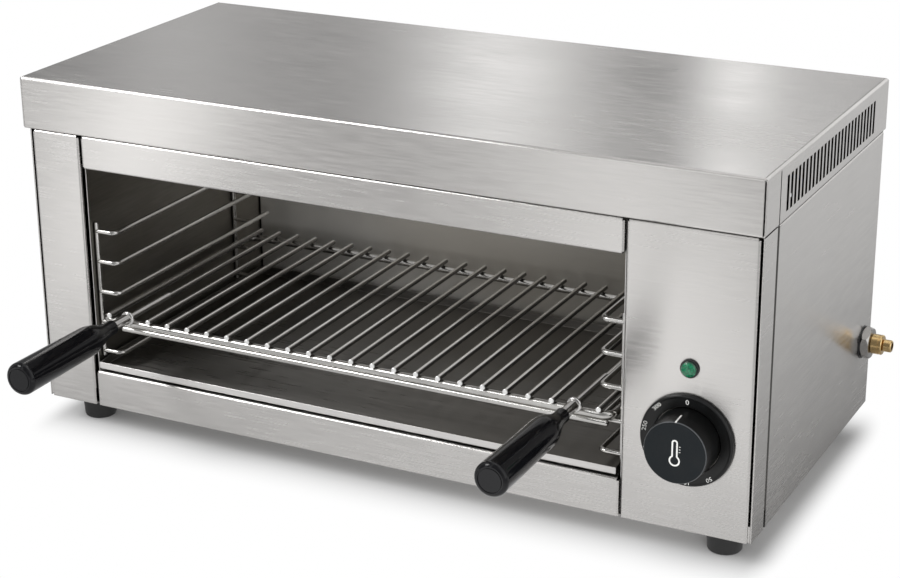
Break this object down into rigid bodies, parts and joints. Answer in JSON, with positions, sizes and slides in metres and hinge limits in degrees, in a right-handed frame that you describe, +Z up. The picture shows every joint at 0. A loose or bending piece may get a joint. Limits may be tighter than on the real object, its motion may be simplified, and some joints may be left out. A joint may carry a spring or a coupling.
{
  "type": "cheese melter",
  "caption": "Open-fronted electric melting grill: folded steel cabinet with vented hood, wire racks, a pull-out wire shelf with two grips, a drip tray, and a knob and lamp.",
  "frame": {"origin": "under the centre of the space that the whole object takes up, on the surface the feet stand on", "axes": "+Z up, -Y out of the open front, +X to the right seen from the front, along the hood's width"},
  "size_m": [0.6234, 0.417, 0.286],
  "materials": {
    "stainless": "brushed along the panels",
    "liner": "satin, heat tinted",
    "fasteners": "bright zinc",
    "chrome_wire": "bright plated wire",
    "handle_chrome": "bright plated",
    "grip_black": "glossy moulded phenolic",
    "heater_sheath": "dull oxidised tube",
    "thermostat_case": "matt",
    "copper": "drawn copper",
    "knob_black": "satin moulded, printed marks",
    "lamp_green": "clear dark green",
    "lamp_black": "matt",
    "terminal_white": "matt moulded",
    "wire_brown": "sleeved",
    "wire_black": "sleeved",
    "wire_blue": "sleeved",
    "wire_grey": "sleeved",
    "gland_steel": "nickel plated",
    "gland_brass": "turned brass",
    "foot_rubber": "moulded",
    "tray_steel": "satin"
  },
  "bodies": {
    "cabinet": {"hood": "stainless", "base_pan": "stainless", "side_left": "stainless", "side_right": "stainless", "back_panel": "stainless", "back_screws": "fasteners", "corner_post_left": "stainless", "corner_post_right": "stainless", "front_stile": "stainless", "front_fascia": "stainless", "front_sill": "stainless", "control_panel": "stainless", "cavity_left": "liner", "cavity_right": "liner", "cavity_back": "liner", "cavity_roof": "stainless", "rack_left": "chrome_wire", "rack_right": "chrome_wire", "tray_rail_left": "stainless", "tray_rail_right": "stainless", "heater_front": "heater_sheath", "heater_rear": "heater_sheath", "heater_nuts": "fasteners", "heater_hangers": "fasteners", "thermostat_body": "thermostat_case", "thermostat_screws": "fasteners", "sensor_bulb": "copper", "sensor_clips": "fasteners", "dial_ring": "knob_black", "lamp_lens": "lamp_green", "lamp_body": "lamp_black", "lamp_nut": "lamp_black", "terminal_block": "terminal_white", "wire_live": "wire_brown", "wire_heater": "wire_black", "wire_neutral": "wire_blue", "wire_lamp": "wire_grey", "gland_washer": "lamp_black", "gland_locknut": "gland_steel", "gland_body": "gland_brass", "gland_cap": "gland_brass", "gland_backnut": "gland_steel", "foot_front_left": "foot_rubber", "foot_front_right": "foot_rubber", "foot_rear_left": "foot_rubber", "foot_rear_right": "foot_rubber", "foot_screws": "fasteners"},
    "shelf": {"shelf_frame": "chrome_wire", "shelf_brace": "chrome_wire", "shelf_rods": "chrome_wire", "handle_rods": "handle_chrome", "handle_ferrules": "handle_chrome", "handle_collars": "handle_chrome", "grip_left": "grip_black", "grip_right": "grip_black"},
    "tray": {"drip_tray": "tray_steel"},
    "knob": {"knob": "knob_black", "thermostat_shaft": "handle_chrome"}
  },
  "joints": [
    {"name": "shelf_slide", "type": "slide", "parent": "cabinet", "child": "shelf", "axis": [0, -1, 0], "range_m": [0, 0.2]},
    {"name": "tray_slide", "type": "slide", "parent": "cabinet", "child": "tray", "axis": [0, -1, 0], "range_m": [0, 0.2]},
    {"name": "knob_turn", "type": "hinge", "parent": "cabinet", "child": "knob", "pos_m": [0.23985, -0.0715, 0.092], "axis": [0, 1, 0], "range_deg": [0, 315]}
  ]
}
